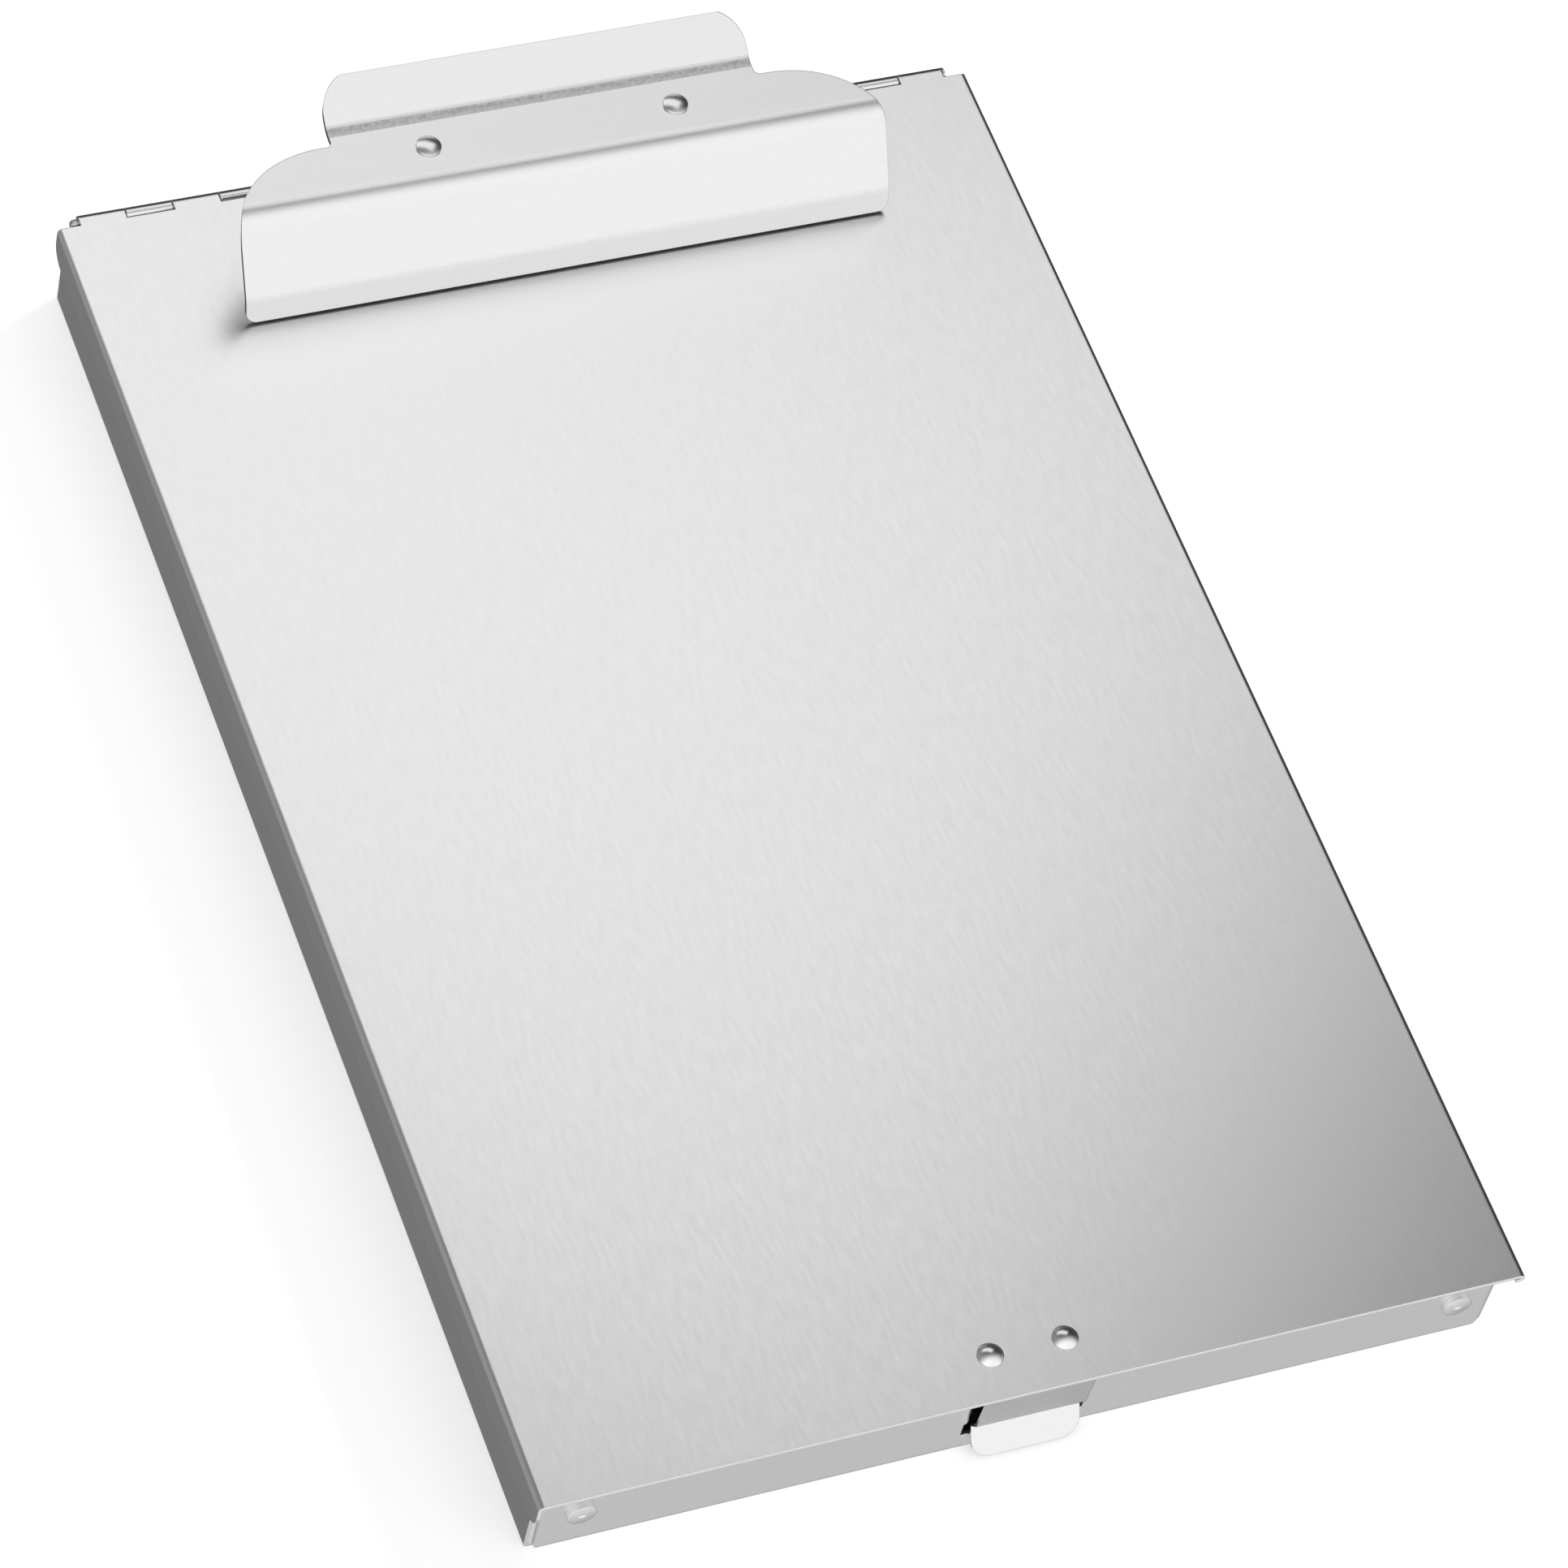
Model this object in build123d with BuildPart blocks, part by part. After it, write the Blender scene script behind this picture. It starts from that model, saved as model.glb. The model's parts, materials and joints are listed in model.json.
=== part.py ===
"""Storage clipboard: a shallow sheet tray, a hinged lid to write on, a front latch and a sprung clip."""

import os

from build123d import *

os.makedirs("parts", exist_ok=True)

# ---- Driving dimensions, in millimetres. +X is right, +Y points at the hinge, +Z is up. ----

sheet = 1.0
clip_sheet = 1.2
latch_sheet = 0.8
moving_gap = 0.3

lid_width = 238.0
lid_length = 363.5
lid_top = 25.4
lid_front = -185.12
flange_drop = 9.6
flange_corner = 5.0
edge_bend = 0.9
hem_radius = 0.8
hem_return = 0.7

tray_left = -117.7
tray_right = 115.6
tray_front = 3.3
tray_back = 362.9
tray_bend = 0.8
corner_bend = 1.5
wall_gap = 0.4
corner_tab = 17.0
front_seam = 1.7
corner_relief = 1.3
front_corner = 3.0

segment_count = 19
segment_pitch = 11.92
knuckle_gap = 0.3
hinge_y = 365.55
knuckle_radius = 1.9
rod_clearance = 0.05
rod_head_radius = 1.2
rod_head_length = 1.7

slot_left = -15.3
slot_right = 14.3
slot_bottom = 6.1
slot_top = 10.9
neck_half = 13.5
neck_curl = 1.8

latch_half_width = 13.2
latch_axis_y = 1.0
latch_axis_z = 23.7
latch_base_end = 17.5
lip_corner = 5.0

deck_z = 50.3
clip_half_width = 83.3
tab_half_width = 54.8
hood_knee = (327.7, 32.0)
hood_foot = (325.7, 26.0)
jaw_corner = 3.0
pin_y = 352.0
pin_z = 40.0
pin_radius = 1.5
pin_clearance = 0.05
lever_ear = 36.9
base_ear = 38.6
bracket_half_length = 6.0
ear_round = 5.0

shank_radius = 1.6
rivet_clearance = 0.05
latch_rivet_x = (-8.8, 9.3)
latch_rivet_y = 11.3
clip_rivet_x = 31.9
clip_rivet_y = 350.0
wall_rivet_x = (-106.6, 105.7)
wall_rivet_z = 13.5
base_rivet_x = 29.0
base_rivet_y = (344.5, 358.5)

spring_wire = 0.8
spring_coil = 3.1
spring_turns = 5
spring_pitch = 1.75
spring_x = 14.0
lower_leg_angle = 20
upper_leg_angle = -15

grip_half_width = 80.3
grip_thickness = 1.8
grip_height = 3.3

# ---- Dimensions that follow from those ----

half_width = lid_width / 2
half_sheet = sheet / 2
lid_mid = lid_top - half_sheet
lid_under = lid_top - sheet
wall_top = lid_under - wall_gap
hinge_z = lid_top - knuckle_radius
knuckle_mid = knuckle_radius - half_sheet
rod_radius = knuckle_radius - sheet - rod_clearance
barrel_half = segment_count * segment_pitch / 2
deck_mid = deck_z - clip_sheet / 2
deck_under = deck_z - clip_sheet


def back(distance):
    """Y of a point that lies this far behind the lid's front edge."""
    return lid_front + distance


def save(piece, name):
    """Label a finished piece and write it to its own file."""
    piece.part.label = name
    export_step(piece.part, f"parts/{name}.step")


def segments(first):
    """Left end of every second hinge knuckle, from this one on."""
    return [segment * segment_pitch - barrel_half for segment in range(first, segment_count, 2)]


def end_edges(piece, thickness, height):
    """Edges that cross the sheet's thickness at its lower end, below this height."""
    return [
        edge
        for edge in piece.edges().filter_by(GeomType.LINE)
        if abs(edge.length - thickness) < 0.01 and edge.center().Z < height
    ]


def rivet(seat, head_radius, head_height, rim_height, grip, tail_radius, tail_height):
    """Solid rivet: a domed head on the seat plane, a shank through the sheets and a pressed tail."""
    section = Plane(origin=seat.origin, x_dir=seat.x_dir, z_dir=-seat.y_dir)
    with BuildPart() as piece:
        with BuildSketch(section):
            with BuildLine():
                TangentArc((0, head_height), (head_radius, rim_height), tangent=(1, 0))
                Polyline(
                    (head_radius, rim_height),
                    (head_radius, 0),
                    (shank_radius, 0),
                    (shank_radius, -grip),
                    (tail_radius, -grip),
                    (tail_radius * 0.8, -grip - tail_height),
                    (0, -grip - tail_height),
                    (0, head_height),
                )
            make_face()
        revolve(axis=Axis(seat.origin, seat.z_dir))
    return piece


# ---- Tray: bottom and side walls, front and back walls, corner tabs, hinge knuckles ----

left_mid = tray_left + half_sheet
right_mid = tray_right - half_sheet
front_mid = tray_front + half_sheet
back_mid = tray_back - half_sheet
front_tab_mid = front_mid + sheet
back_tab_mid = back_mid - sheet
panel_left = tray_left + front_seam
panel_right = tray_right - front_seam
back_wall_top = hinge_z - knuckle_radius - 1.0
slot_center = (slot_left + slot_right) / 2
neck_flat = neck_half + neck_curl

with BuildPart() as tray:
    # Bottom and both side walls are one U-shaped sheet.
    with BuildSketch(Plane.XZ.offset(-back(front_mid + tray_bend))):
        with BuildLine():
            FilletPolyline(
                (left_mid, wall_top),
                (left_mid, half_sheet),
                (right_mid, half_sheet),
                (right_mid, wall_top),
                radius=tray_bend,
            )
        trace(line_width=sheet)
    extrude(amount=-(back_mid - front_mid - 2 * tray_bend))
    # Front and back walls fold up from the bottom; the back one ends in a curl round the hinge rod.
    with BuildSketch(Plane.YZ.offset(panel_left)):
        with BuildLine():
            FilletPolyline(
                (back(front_mid), wall_top),
                (back(front_mid), half_sheet),
                (back(front_mid + 10), half_sheet),
                radius=tray_bend,
            )
        trace(line_width=sheet)
    extrude(amount=panel_right - panel_left)
    # The front wall's lower corners are cut round.
    with BuildSketch(Plane.XZ.offset(-back(tray_front))):
        for corner_x, inward in ((panel_left, 1), (panel_right, -1)):
            with BuildLine():
                cut = RadiusArc(
                    (corner_x, front_corner),
                    (corner_x + inward * front_corner, 0),
                    front_corner * -inward,
                )
                Polyline(cut @ 0, (corner_x, 0), cut @ 1)
            make_face()
    extrude(amount=-(sheet + tray_bend - half_sheet), mode=Mode.SUBTRACT)
    with BuildSketch(Plane.YZ.offset(panel_left)):
        with BuildLine():
            FilletPolyline(
                (back(back_mid - 10), half_sheet),
                (back(back_mid), half_sheet),
                (back(back_mid), back_wall_top - 1.5),
                (back(hinge_y - knuckle_mid), hinge_z - knuckle_mid),
                (back(hinge_y - knuckle_mid), hinge_z),
                radius=[tray_bend, 0.9, 0.9],
            )
            CenterArc((back(hinge_y), hinge_z), knuckle_mid, 180, -275)
        trace(line_width=sheet)
    extrude(amount=panel_right - panel_left)
    # The back wall's curled edge is cut away where the lid's own knuckles and the rod's head sit.
    cut_starts = [panel_left - 1] + [left - knuckle_gap / 2 for left in segments(0)]
    for start in cut_starts:
        with BuildSketch(Plane.YZ.offset(start)):
            with Locations((back(tray_back - sheet), back_wall_top)):
                Rectangle(10, 10, align=(Align.MIN, Align.MIN))
        extrude(amount=segment_pitch + knuckle_gap, mode=Mode.SUBTRACT)
    # A tab wraps round each upright corner and lies behind the front or back wall.
    with BuildSketch(Plane.XY.offset(corner_relief)):
        for side_mid, inward in ((left_mid, 1), (right_mid, -1)):
            for wall_mid, away in ((front_tab_mid, 1), (back_tab_mid, -1)):
                with BuildLine():
                    FilletPolyline(
                        (side_mid, back(wall_mid + 8 * away)),
                        (side_mid, back(wall_mid)),
                        (side_mid + corner_tab * inward, back(wall_mid)),
                        radius=corner_bend,
                    )
                trace(line_width=sheet)
    extrude(amount=wall_top - corner_relief)
    # Keyhole window for the latch: a wide slot with a narrower neck that is open at the top.
    with BuildSketch(Plane.XZ.offset(-back(tray_front))):
        with Locations((slot_center, (slot_bottom + slot_top) / 2)):
            Rectangle(slot_right - slot_left, slot_top - slot_bottom)
        with Locations((0, (slot_top + wall_top) / 2)):
            Rectangle(2 * neck_flat, wall_top - slot_top)
    extrude(amount=-2 * sheet, mode=Mode.SUBTRACT)
    # The neck's edges curl inwards, so the latch's nose slides past a smooth edge.
    with BuildSketch(Plane.XY.offset(slot_top)):
        for side in (-1, 1):
            with BuildLine():
                curl = ThreePointArc(
                    (side * neck_flat, back(front_mid)),
                    (
                        side * (neck_flat - (neck_curl - half_sheet) * 0.7071),
                        back(front_mid + (neck_curl - half_sheet) * 0.2929),
                    ),
                    (side * (neck_half + half_sheet), back(front_mid + neck_curl - half_sheet)),
                )
                Line(curl @ 1, (side * (neck_half + half_sheet), back(front_mid + neck_curl)))
            trace(line_width=sheet)
    extrude(amount=wall_top - slot_top)
    # Rivet holes through both layers at the four corners.
    for wall in (tray_front, tray_back - 2 * sheet):
        with BuildSketch(Plane.XZ.offset(-back(wall))):
            with Locations(*((x, wall_rivet_z) for x in wall_rivet_x)):
                Circle(shank_radius + rivet_clearance)
        extrude(amount=-2 * sheet, mode=Mode.SUBTRACT)
save(tray, "tray")

# ---- Corner rivets of the tray ----

for end, wall, outward in (("front", tray_front, -1), ("back", tray_back, 1)):
    for side, x in zip(("left", "right"), wall_rivet_x):
        seat = Plane(origin=(x, back(wall), wall_rivet_z), x_dir=(1, 0, 0), z_dir=(0, outward, 0))
        corner_rivet = rivet(seat, 3.4, 1.35, 1.2, 2 * sheet, 2.6, 1.2)
        save(corner_rivet, f"tray_rivet_{end}_{side}")

# ---- Lid: top sheet, deep left flange, rolled right edge, hinge knuckles ----

hem_x = half_width - hem_radius - half_sheet

with BuildPart() as lid:
    with BuildSketch(Plane.XZ.offset(-back(0))):
        with BuildLine():
            FilletPolyline(
                (-half_width + half_sheet, lid_top - flange_drop),
                (-half_width + half_sheet, lid_mid),
                (hem_x, lid_mid),
                radius=edge_bend,
            )
            CenterArc((hem_x, lid_mid - hem_radius), hem_radius, 90, -180)
            Line(
                (hem_x, lid_mid - 2 * hem_radius),
                (hem_x - hem_return, lid_mid - 2 * hem_radius),
            )
        trace(line_width=sheet)
    extrude(amount=-lid_length)
    flange_corners = lid.edges().filter_by(Axis.X).group_by(Axis.Z)[0]
    fillet(flange_corners, flange_corner)
    # The other hinge knuckles are rolled down and under from the lid's back edge.
    for left in segments(0):
        with BuildSketch(Plane.YZ.offset(left + knuckle_gap / 2)):
            with BuildLine():
                Line((back(lid_length - 1), lid_mid), (back(hinge_y), lid_mid))
                CenterArc((back(hinge_y), hinge_z), knuckle_mid, 90, -290)
            trace(line_width=sheet)
        extrude(amount=segment_pitch - knuckle_gap)
    with BuildSketch(Plane.XY.offset(lid_top)):
        with Locations(*((x, back(latch_rivet_y)) for x in latch_rivet_x)):
            Circle(shank_radius + rivet_clearance)
        with Locations(*((x, back(y)) for x in (-base_rivet_x, base_rivet_x) for y in base_rivet_y)):
            Circle(shank_radius + rivet_clearance)
    extrude(amount=-sheet, mode=Mode.SUBTRACT)
save(lid, "lid")

# ---- Hinge rod, with one headed end ----

with BuildPart() as hinge_rod:
    with BuildSketch(Plane.YZ.offset(-barrel_half - moving_gap)):
        with Locations((back(hinge_y), hinge_z)):
            Circle(rod_radius)
    extrude(amount=2 * barrel_half + moving_gap)
    with BuildSketch(Plane.YZ.offset(-barrel_half - moving_gap)):
        with Locations((back(hinge_y), hinge_z)):
            Circle(rod_head_radius)
    extrude(amount=-rod_head_length)
    fillet(hinge_rod.edges().filter_by(GeomType.CIRCLE).group_by(Axis.X)[0], rod_head_radius * 0.85)
save(hinge_rod, "hinge_rod")

# ---- Latch: a base riveted under the lid, and the springy strip that hangs from it ----

with BuildPart() as latch_base:
    with BuildSketch(Plane.XY.offset(lid_under)):
        with Locations((0, back((latch_axis_y + latch_sheet / 2 + moving_gap + latch_base_end) / 2))):
            RectangleRounded(
                2 * latch_half_width,
                latch_base_end - latch_axis_y - latch_sheet / 2 - moving_gap,
                1.5,
            )
        with Locations(*((x, back(latch_rivet_y)) for x in latch_rivet_x)):
            Circle(shank_radius + rivet_clearance, mode=Mode.SUBTRACT)
    extrude(amount=-latch_sheet)
save(latch_base, "latch_base")

with BuildPart() as latch_strip:
    with BuildSketch(Plane.YZ):
        with BuildLine():
            FilletPolyline(
                (back(latch_axis_y), latch_axis_z),
                (back(1.67), 12.4),
                (back(3.9), 9.2),
                (back(1.5), 4.9),
                (back(-0.45), 1.1),
                radius=0.9,
            )
        trace(line_width=latch_sheet)
        with Locations((back(latch_axis_y), latch_axis_z)):
            Circle(latch_sheet / 2)
    extrude(amount=latch_half_width, both=True)
    fillet(end_edges(latch_strip, latch_sheet, 2), lip_corner)
save(latch_strip, "latch_strip")

for side, x in zip(("left", "right"), latch_rivet_x):
    seat = Plane(origin=(x, back(latch_rivet_y), lid_top))
    latch_rivet = rivet(seat, 3.1, 1.7, 0.2, sheet + latch_sheet, 2.6, 1.0)
    save(latch_rivet, f"latch_rivet_{side}")

# ---- Clip lever: thumb tab, flat deck and the hood that presses the paper down ----

with BuildPart() as clip_lever:
    with BuildSketch(Plane.YZ):
        with BuildLine():
            FilletPolyline(
                (back(370.7), 57.3),
                (back(359.5), deck_mid),
                (back(339.0), deck_mid),
                (back(hood_knee[0]), hood_knee[1]),
                (back(hood_foot[0]), hood_foot[1]),
                radius=[6.0, 6.0, 8.0],
            )
        trace(line_width=clip_sheet)
    extrude(amount=clip_half_width, both=True)
    # Plan outline: rounded tab corners, a small notch each side, then shoulders that sweep outwards.
    with BuildSketch(Plane.XY.offset(lid_under)):
        with BuildLine():
            Polyline((0, back(320)), (clip_half_width, back(320)), (clip_half_width, back(334)))
            EllipticalCenterArc((58, back(334)), clip_half_width - 58, 21, start_angle=0, arc_size=90)
            Line((58, back(355)), (tab_half_width + 1.5, back(355)))
            RadiusArc((tab_half_width + 1.5, back(355)), (tab_half_width, back(356.5)), 1.5)
            Line((tab_half_width, back(356.5)), (tab_half_width, back(362.4)))
            EllipticalCenterArc((tab_half_width - 10, back(362.4)), 10, 8.8, start_angle=0, arc_size=90)
            Polyline((tab_half_width - 10, back(371.2)), (0, back(371.2)), (0, back(320)))
        make_face()
        mirror(about=Plane.YZ)
    extrude(amount=60, mode=Mode.INTERSECT)
    fillet(end_edges(clip_lever, clip_sheet, hood_foot[1] + 1), jaw_corner)
    with BuildSketch(Plane.XY.offset(deck_z)):
        with Locations(*((side * clip_rivet_x, back(clip_rivet_y)) for side in (-1, 1))):
            Circle(shank_radius + rivet_clearance)
    extrude(amount=-clip_sheet, mode=Mode.SUBTRACT)
save(clip_lever, "clip_lever")

# ---- Lever bracket: a channel under the deck whose ears turn on the pin ----

with BuildPart() as lever_bracket:
    with BuildSketch(Plane.XZ.offset(-back(pin_y - bracket_half_length))):
        with BuildLine():
            FilletPolyline(
                (-lever_ear, pin_z - ear_round),
                (-lever_ear, deck_under - half_sheet),
                (lever_ear, deck_under - half_sheet),
                (lever_ear, pin_z - ear_round),
                radius=1.5,
            )
        trace(line_width=sheet)
    extrude(amount=-2 * bracket_half_length)
    fillet(lever_bracket.edges().filter_by(Axis.X).group_by(Axis.Z)[0], ear_round)
    with BuildSketch(Plane.YZ):
        with Locations((back(pin_y), pin_z)):
            Circle(pin_radius + pin_clearance)
    extrude(amount=lever_ear + sheet, both=True, mode=Mode.SUBTRACT)
    with BuildSketch(Plane.XY.offset(deck_under)):
        with Locations(*((side * clip_rivet_x, back(clip_rivet_y)) for side in (-1, 1))):
            Circle(shank_radius + rivet_clearance)
    extrude(amount=-sheet, mode=Mode.SUBTRACT)
save(lever_bracket, "lever_bracket")

for side, x in (("left", -clip_rivet_x), ("right", clip_rivet_x)):
    seat = Plane(origin=(x, back(clip_rivet_y), deck_z))
    lever_rivet = rivet(seat, 3.1, 1.15, 0.5, clip_sheet + sheet, 2.6, 1.0)
    save(lever_rivet, f"lever_rivet_{side}")

# ---- Base bracket: riveted to the lid, its ears carry the pin ----

base_front = pin_y - 11
base_back = pin_y + 9.5

with BuildPart() as base_bracket:
    with BuildSketch(Plane.XZ.offset(-back(pin_y - bracket_half_length))):
        with BuildLine():
            FilletPolyline(
                (-base_ear, pin_z + ear_round),
                (-base_ear, lid_top + half_sheet),
                (base_ear, lid_top + half_sheet),
                (base_ear, pin_z + ear_round),
                radius=1.5,
            )
        trace(line_width=sheet)
    extrude(amount=-2 * bracket_half_length)
    fillet(base_bracket.edges().filter_by(Axis.X).group_by(Axis.Z)[-1], ear_round)
    with BuildSketch(Plane.XY.offset(lid_top)):
        with Locations((0, back((base_front + base_back) / 2))):
            RectangleRounded(2 * base_ear - 6, base_back - base_front, 3)
    extrude(amount=sheet)
    with BuildSketch(Plane.YZ):
        with Locations((back(pin_y), pin_z)):
            Circle(pin_radius + pin_clearance)
    extrude(amount=base_ear + sheet, both=True, mode=Mode.SUBTRACT)
    with BuildSketch(Plane.XY.offset(lid_top)):
        with Locations(*((x, back(y)) for x in (-base_rivet_x, base_rivet_x) for y in base_rivet_y)):
            Circle(shank_radius + rivet_clearance)
    extrude(amount=sheet, mode=Mode.SUBTRACT)
save(base_bracket, "base_bracket")

for side, x in (("left", -base_rivet_x), ("right", base_rivet_x)):
    for end, y in zip(("front", "back"), base_rivet_y):
        seat = Plane(origin=(x, back(y), lid_top + sheet))
        base_rivet = rivet(seat, 2.8, 1.3, 0.2, 2 * sheet, 2.6, 1.0)
        save(base_rivet, f"base_rivet_{end}_{side}")

# ---- Clip pin, headed at both ends ----

with BuildPart() as clip_pin:
    with BuildSketch(Plane.YZ):
        with Locations((back(pin_y), pin_z)):
            Circle(pin_radius)
    extrude(amount=base_ear + sheet, both=True)
    for side in (-1, 1):
        with BuildSketch(Plane.YZ.offset(side * (base_ear + half_sheet + pin_clearance))):
            with Locations((back(pin_y), pin_z)):
                Circle(pin_radius + 1)
        extrude(amount=side * 1.2)
save(clip_pin, "clip_pin")

# ---- Torsion springs: each coil sits on the pin, one leg presses the lid, one lifts the deck ----

leg_drop = pin_z - lid_top - sheet - spring_wire
leg_rise = deck_under - sheet - spring_wire - pin_z


def spring_point(angle, x):
    """Point on the coil's centre line at this angle about the pin, at this X."""
    arm = Vector(0, spring_coil, 0).rotate(Axis.X, angle)
    return Vector(x, back(pin_y), pin_z) + arm


def torsion_spring(start_x, side):
    """Round wire: lower leg, a coil of full turns round the pin, upper leg."""
    turn = 360 * spring_turns - lower_leg_angle + upper_leg_angle
    steps = spring_turns * 12
    angles = [lower_leg_angle + turn * step / steps for step in range(steps + 1)]
    coil_points = [
        spring_point(angle, start_x + side * spring_pitch * (angle - lower_leg_angle) / 360)
        for angle in angles
    ]
    low_heading = Vector(0, 0, 1).rotate(Axis.X, lower_leg_angle)
    high_heading = Vector(0, 0, 1).rotate(Axis.X, upper_leg_angle)
    low_length = (leg_drop + coil_points[0].Z - pin_z) / low_heading.Z
    high_length = (leg_rise - coil_points[-1].Z + pin_z) / high_heading.Z
    with BuildPart() as piece:
        with BuildLine():
            lower = Line(coil_points[0] - low_heading * low_length, coil_points[0])
            coil = Spline(*coil_points, tangents=[low_heading, high_heading])
            Line(coil @ 1, coil_points[-1] + high_heading * high_length)
        with BuildSketch(Plane(origin=lower @ 0, z_dir=low_heading)):
            Circle(spring_wire)
        sweep()
    return piece


for name, side in (("left", -1), ("right", 1)):
    spring = torsion_spring(side * spring_x, side)
    save(spring, f"clip_spring_{name}")

# ---- Rubber grip along the inside of the jaw ----

hood_lean = (hood_knee[0] - hood_foot[0]) / (hood_knee[1] - hood_foot[1])
half_thickness = clip_sheet / 2 * (1 + hood_lean**2) ** 0.5


def hood_inside(height):
    """How far behind the lid's front edge the hood's inner face lies at this height."""
    return hood_foot[0] + (height - hood_foot[1]) * hood_lean + half_thickness


grip_low = lid_top + moving_gap
grip_high = grip_low + grip_height

with BuildPart() as jaw_grip:
    with BuildSketch(Plane.YZ):
        with BuildLine():
            Polyline(
                (back(hood_inside(grip_low)), grip_low),
                (back(hood_inside(grip_low) + grip_thickness), grip_low),
                (back(hood_inside(grip_high) + grip_thickness), grip_high),
                (back(hood_inside(grip_high)), grip_high),
                close=True,
            )
        make_face()
    extrude(amount=grip_half_width, both=True)
save(jaw_grip, "jaw_grip")
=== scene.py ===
"""Looks of the storage clipboard: metal finishes, a white floor, soft studio lights and the camera."""

import json
import math

import bpy
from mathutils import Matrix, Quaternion, Vector

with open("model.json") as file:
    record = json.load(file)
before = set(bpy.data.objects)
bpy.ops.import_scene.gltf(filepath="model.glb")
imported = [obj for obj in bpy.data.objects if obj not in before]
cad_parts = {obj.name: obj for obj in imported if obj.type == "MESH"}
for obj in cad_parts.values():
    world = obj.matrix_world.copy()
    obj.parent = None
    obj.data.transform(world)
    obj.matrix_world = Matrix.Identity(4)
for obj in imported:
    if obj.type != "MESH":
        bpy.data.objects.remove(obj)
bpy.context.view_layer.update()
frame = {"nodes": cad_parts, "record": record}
nodes = frame["nodes"]

scene = bpy.context.scene


# ---- Materials ----

edge_softening = 0.0003
edge_samples = 6
noise_low = 0.3
noise_high = 0.7
noise_detail = 3
bump_strength = 0.5


def new_material(name, color, metallic, roughness):
    """Principled material with its constants on the shader's own sockets."""
    material = bpy.data.materials.new(name)
    material.use_nodes = True
    shader = material.node_tree.nodes["Principled BSDF"]
    shader.inputs["Base Color"].default_value = (*color, 1)
    shader.inputs["Metallic"].default_value = metallic
    shader.inputs["Roughness"].default_value = roughness
    return material, shader


def stretched_noise(material, scale, noise_scale):
    """Noise over the object's own coordinates, stretched by this scale along each axis."""
    tree = material.node_tree
    coordinates = tree.nodes.new("ShaderNodeTexCoord")
    mapping = tree.nodes.new("ShaderNodeMapping")
    mapping.inputs["Scale"].default_value = scale
    noise = tree.nodes.new("ShaderNodeTexNoise")
    noise.inputs["Scale"].default_value = noise_scale
    noise.inputs["Detail"].default_value = noise_detail
    tree.links.new(coordinates.outputs["Object"], mapping.inputs["Vector"])
    tree.links.new(mapping.outputs["Vector"], noise.inputs["Vector"])
    return noise.outputs["Fac"]


def spread(material, factor, low, high):
    """Map a noise value from its usual middle range onto low to high."""
    tree = material.node_tree
    ranger = tree.nodes.new("ShaderNodeMapRange")
    ranger.inputs["From Min"].default_value = noise_low
    ranger.inputs["From Max"].default_value = noise_high
    ranger.inputs["To Min"].default_value = low
    ranger.inputs["To Max"].default_value = high
    tree.links.new(factor, ranger.inputs["Value"])
    return ranger.outputs["Result"]


def tint(material, shader, factor, dark, light):
    """Vary the base colour between two greys with a noise value."""
    tree = material.node_tree
    ramp = tree.nodes.new("ShaderNodeValToRGB")
    ramp.color_ramp.elements[0].position = noise_low
    ramp.color_ramp.elements[0].color = (dark, dark, dark, 1)
    ramp.color_ramp.elements[1].position = noise_high
    ramp.color_ramp.elements[1].color = (light, light, light, 1)
    tree.links.new(factor, ramp.inputs["Fac"])
    tree.links.new(ramp.outputs["Color"], shader.inputs["Base Color"])


def bump(material, shader, factor, distance):
    """Raise the surface's look a little with a noise value, over edges softened by a fine radius."""
    tree = material.node_tree
    edge = tree.nodes.new("ShaderNodeBevel")
    edge.samples = edge_samples
    edge.inputs["Radius"].default_value = edge_softening
    node = tree.nodes.new("ShaderNodeBump")
    node.inputs["Distance"].default_value = distance
    node.inputs["Strength"].default_value = bump_strength
    tree.links.new(edge.outputs["Normal"], node.inputs["Normal"])
    tree.links.new(factor, node.inputs["Height"])
    tree.links.new(node.outputs["Normal"], shader.inputs["Normal"])


def grained(name, grey, metallic, roughness, scale, noise_scale, roughness_spread, relief, contrast):
    """Material whose colour, roughness and relief vary with one stretched noise."""
    material, shader = new_material(name, (grey, grey, grey), metallic, roughness)
    grain = stretched_noise(material, scale, noise_scale)
    low = roughness - roughness_spread
    high = roughness + roughness_spread
    material.node_tree.links.new(spread(material, grain, low, high), shader.inputs["Roughness"])
    tint(material, shader, grain, grey - contrast, grey + contrast)
    bump(material, shader, grain, relief)
    return material


def grained_metal(name, grey, roughness, scale, noise_scale, roughness_spread, relief, contrast):
    """Grained material that is fully metallic."""
    return grained(name, grey, 1.0, roughness, scale, noise_scale, roughness_spread, relief, contrast)


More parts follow.
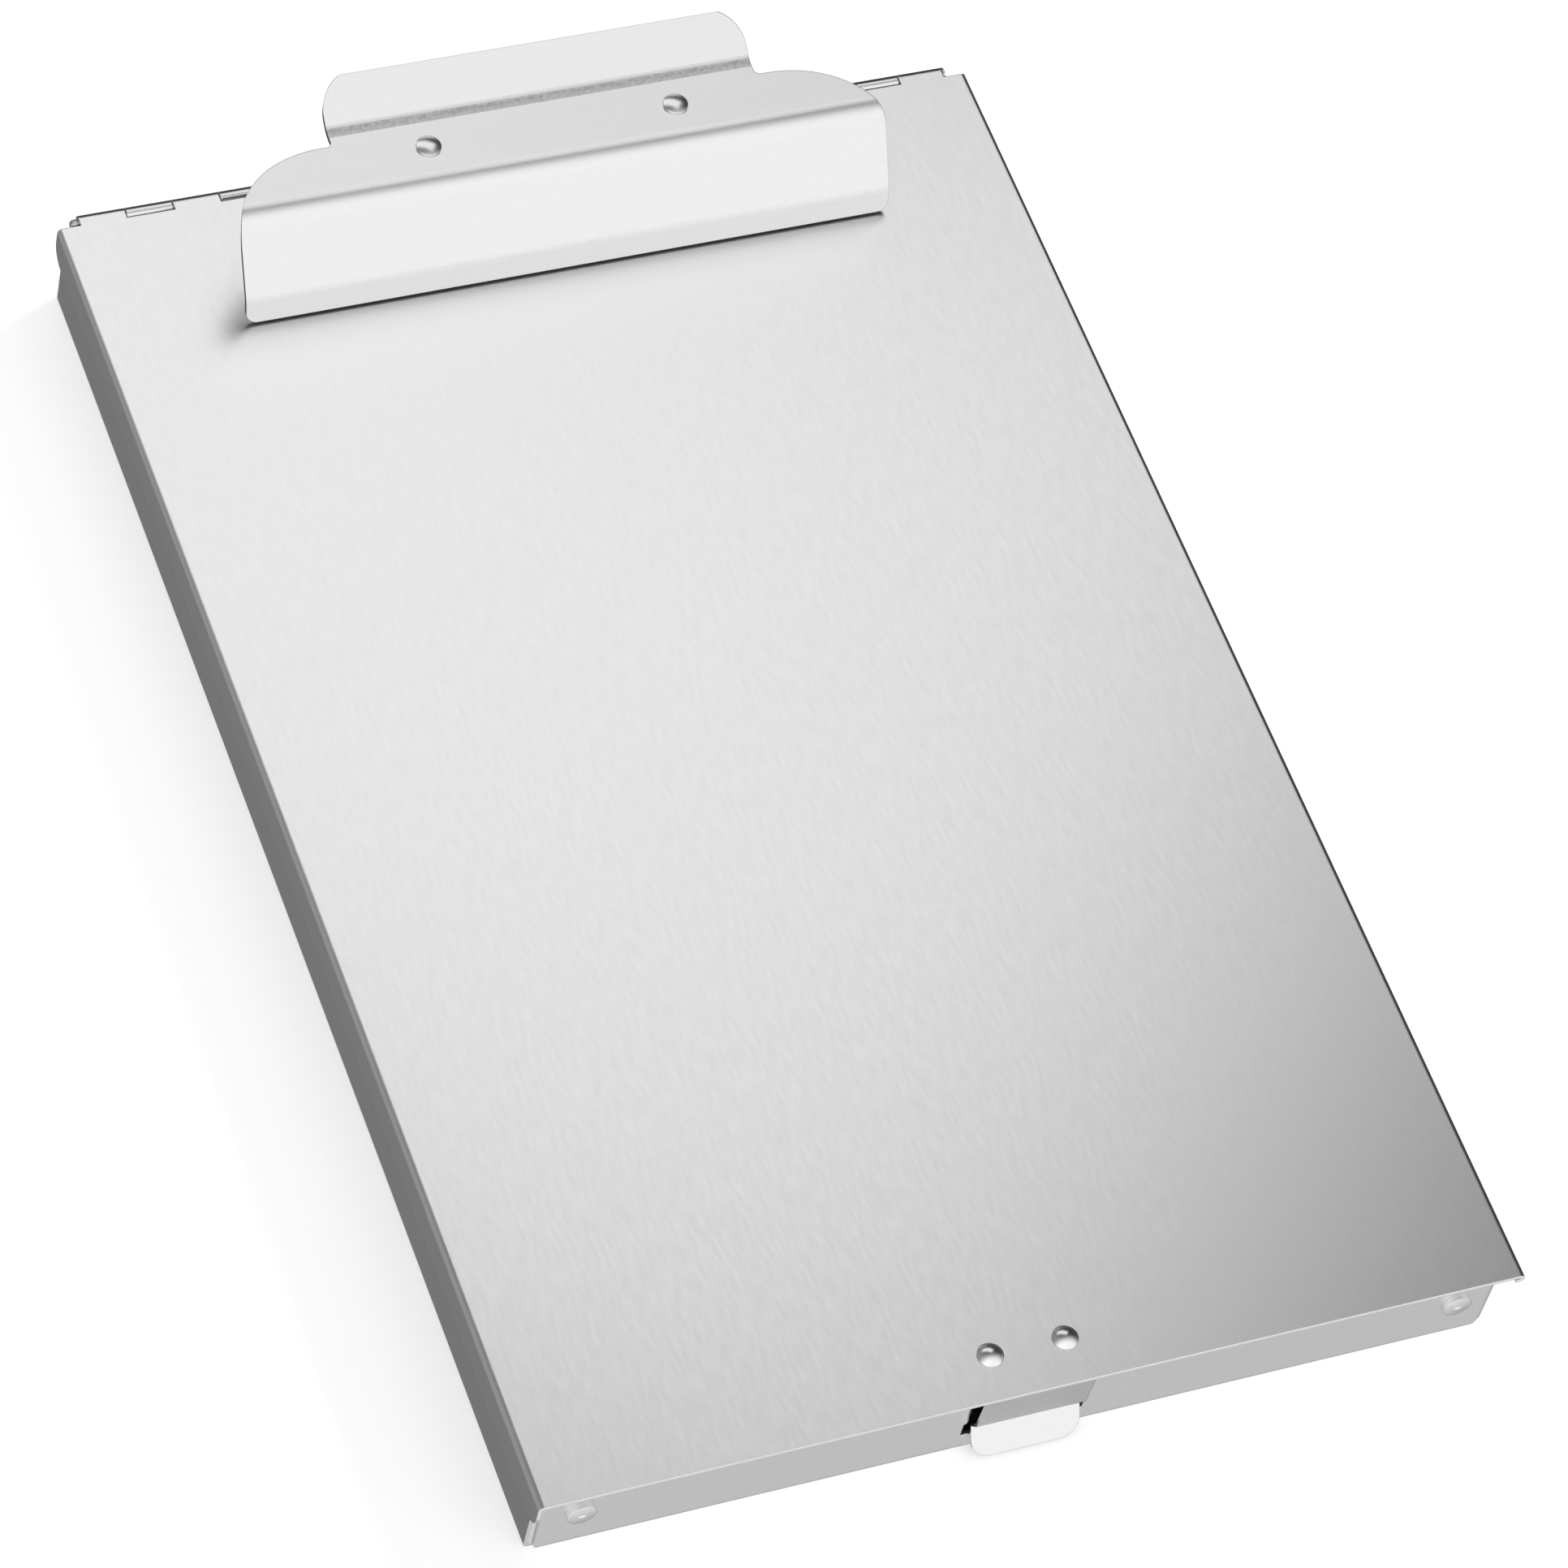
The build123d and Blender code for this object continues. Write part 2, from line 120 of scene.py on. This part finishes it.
finishes = {
    "lid_sheet": grained_metal("satin_lid", 0.87, 0.30, (1, 0.2, 1), 900, 0.02, 0.000003, 0.012),
    "tray_sheet": grained_metal("satin_tray", 0.78, 0.34, (1, 0.2, 1), 900, 0.02, 0.000003, 0.012),
    "clip_steel": grained_metal("brushed_clip", 0.77, 0.28, (0.02, 1, 1), 2500, 0.02, 0.000001, 0.012),
    "latch_steel": grained_metal("latch_steel", 0.80, 0.30, (0.02, 1, 1), 2500, 0.02, 0.000001, 0.01),
    "plated_steel": grained_metal("plated_steel", 0.62, 0.32, (1, 1, 1), 900, 0.05, 0.00001, 0.02),
    "spring_steel": grained_metal("spring_steel", 0.45, 0.35, (1, 1, 1), 900, 0.05, 0.00001, 0.02),
    "dome_rivet": grained_metal("dome_rivet", 0.80, 0.26, (1, 1, 1), 500, 0.02, 0.000004, 0.02),
    "wall_rivet": grained_metal("wall_rivet", 0.84, 0.30, (1, 1, 1), 700, 0.03, 0.000004, 0.02),
}
finishes["grip_rubber"] = grained("grip_rubber", 0.02, 0.0, 0.7, (1, 1, 1), 1200, 0.04, 0.00002, 0.005)
# The tab bend is rough and wrinkled, and its darker grey is painted shade for the dark band along the
# bend.
wrinkled_bend_painted_shade = grained_metal("wrinkled_bend_painted_shade", 0.60, 0.42, (1, 1, 1), 1100, 0.08, 0.00003, 0.12)
rolled_sheet = grained_metal("rolled_sheet", 0.80, 0.20, (1, 1, 1), 900, 0.02, 0.000003, 0.012)
# The lid's sheared front edge is a lighter grey: a painted highlight for the bright line along that
# edge.
sheared_edge_painted_highlight = grained_metal("sheared_edge_painted_highlight", 0.93, 0.50, (1, 1, 1), 900, 0.03, 0.000003, 0.02)
# The clip's cut sheet edges are painted near black: painted shade for the dark gap lines and shadowed
# outlines along the clip's edges.
cut_edge_painted_shade = grained_metal("cut_edge_painted_shade", 0.12, 0.45, (1, 1, 1), 1500, 0.04, 0.00001, 0.03)

slot_of = {entry["node"]: entry["material_slot"] for entry in frame["record"]["subparts"]}
for name, node in nodes.items():
    node.data.materials.clear()
    node.data.materials.append(finishes[slot_of[name]])


# Where the clip's bend and the hinge's curl begin, in metres along Y, and the curl's lowest height.
bend_from = 0.171
knuckles_from = 0.1778
knuckle_foot = 0.0205


def is_cut_edge(face):
    """Whether a face of the clip lies on the sheared edge of its sheet."""
    normal = face.normal
    on_outline = abs(normal.x) > 0.2 or abs(normal.z) < 0.05
    on_hood_foot = normal.y < 0 and normal.z < -0.2
    on_tab_tip = normal.y > 0.5 and normal.z > 0.2
    return on_outline or on_hood_foot or on_tab_tip


def is_tab_bend(face):
    """Whether a face lies on the outer side of the bend between the clip's deck and its thumb tab."""
    return face.center.y > bend_from and -0.40 < face.normal.y < -0.03 and face.normal.z > 0.5


def is_knuckle(face):
    """Whether a face belongs to the curl round the hinge rod, not to the flat sheet beside it."""
    return face.center.y > knuckles_from and face.center.z > knuckle_foot and face.normal.z < 0.99


def is_lid_front(face):
    """Whether a face is the sheared front edge of the lid's top sheet."""
    return face.normal.y < -0.9


def give_faces(name, material, chosen):
    """Give the faces of one piece that pass a test a material of their own."""
    mesh = nodes[name].data
    mesh.materials.append(material)
    slot = len(mesh.materials) - 1
    for face in mesh.polygons:
        if chosen(face):
            face.material_index = slot


# The clip's cut edges get the near-black painted shade.
give_faces("clip_lever", cut_edge_painted_shade, is_cut_edge)
# The outer side of the tab bend gets the rough finish with its painted shade.
give_faces("clip_lever", wrinkled_bend_painted_shade, is_tab_bend)
give_faces("lid", rolled_sheet, is_knuckle)
# The lid's front edge gets the lighter grey of its painted highlight.
give_faces("lid", sheared_edge_painted_highlight, is_lid_front)
give_faces("tray", rolled_sheet, is_knuckle)


# ---- Floor, lights and camera ----

floor_size = 8.0
floor_grey = 0.9
floor_roughness = 0.9
floor_own_light = 0.37
bpy.ops.mesh.primitive_plane_add(size=floor_size)
floor = bpy.context.object
floor.name = "floor"
floor_material, floor_shader = new_material("floor_white", (floor_grey,) * 3, 0.0, floor_roughness)
floor_shader.inputs["Emission Color"].default_value = (1, 1, 1, 1)
floor_shader.inputs["Emission Strength"].default_value = floor_own_light
floor.data.materials.append(floor_material)
floor.visible_glossy = False


def panel(name, location, rotation, size, power):
    """Soft rectangular light that shines along its own -Z."""
    data = bpy.data.lights.new(name, "AREA")
    data.shape = "RECTANGLE"
    data.size, data.size_y = size
    data.energy = power
    light = bpy.data.objects.new(name, data)
    light.location = location
    light.rotation_euler = rotation
    scene.collection.objects.link(light)
    return light


overhead_place = (-0.057, 1.637, 1.518)
overhead_rotation = (0.0, 0.0, 0.846)
overhead_size = (1.303, 2.571)
overhead_power = 11.15
panel("overhead_panel", overhead_place, overhead_rotation, overhead_size, overhead_power)

# The key light falls on the floor alone, so that it isn't seen in the metal.
key_place = Vector((4.2, 1.0, 2.4))
key_rotation = (-key_place).to_track_quat("-Z", "Y").to_euler()
key_size = (2.4, 2.4)
key_power = 150.0
floor_key = panel("floor_key", key_place, key_rotation, key_size, key_power)
floor_only = bpy.data.collections.new("floor_only")
floor_only.objects.link(floor)
floor_key.light_linking.receiver_collection = floor_only


glow_fades_at = -0.2
ambient_strength = 0.03


def glow(tree, coordinates, heading, full_at, strength):
    """Soft light from one side of the world: full strength near the heading, none behind."""
    facing = tree.nodes.new("ShaderNodeVectorMath")
    facing.operation = "DOT_PRODUCT"
    facing.inputs[1].default_value = heading
    tree.links.new(coordinates.outputs["Generated"], facing.inputs[0])
    ranger = tree.nodes.new("ShaderNodeMapRange")
    ranger.interpolation_type = "SMOOTHSTEP"
    ranger.inputs["From Min"].default_value = glow_fades_at
    ranger.inputs["From Max"].default_value = full_at
    ranger.inputs["To Max"].default_value = strength
    tree.links.new(facing.outputs["Value"], ranger.inputs["Value"])
    return ranger.outputs["Result"]


def added(tree, total, extra):
    """Sum of two node values."""
    node = tree.nodes.new("ShaderNodeMath")
    tree.links.new(total, node.inputs[0])
    tree.links.new(extra, node.inputs[1])
    return node.outputs["Value"]


world = bpy.data.worlds.new("studio")
world.use_nodes = True
world_tree = world.node_tree
directions = world_tree.nodes.new("ShaderNodeTexCoord")
# Heading, cosine at which the glow is full, and strength: front, left, and low on the back left.
glows = [
    ((0, -0.98, 0.17), 0.7, 1.12),
    ((-1, 0, 0), 0.9, 0.22),
    ((-0.55, 0.50, -0.67), 0.9, 0.072),
]
ambient = world_tree.nodes.new("ShaderNodeValue")
ambient.outputs["Value"].default_value = ambient_strength
side_light = ambient.outputs["Value"]
for heading, full_at, strength in glows:
    light_from_side = glow(world_tree, directions, heading, full_at, strength)
    side_light = added(world_tree, side_light, light_from_side)
background = world_tree.nodes["Background"]
background.inputs["Color"].default_value = (1, 1, 1, 1)
world_tree.links.new(side_light, background.inputs["Strength"])
scene.world = world

camera_place = Vector((-0.5341, -0.8475, 1.3625))
camera_target = Vector((-0.0012, -0.0172, 0.0254))
camera_roll = math.radians(15.72)
camera_sensor = 36
camera_lens = 163.97
camera_data = bpy.data.cameras.new("camera")
camera_data.sensor_width = camera_sensor
camera_data.lens = camera_lens
camera = bpy.data.objects.new("camera", camera_data)
camera.location = camera_place
aim = (camera_target - camera_place).to_track_quat("-Z", "Y")
camera.rotation_euler = (aim @ Quaternion((0, 0, 1), camera_roll)).to_euler()
scene.collection.objects.link(camera)
scene.camera = camera
scene.view_settings.view_transform = "Standard"
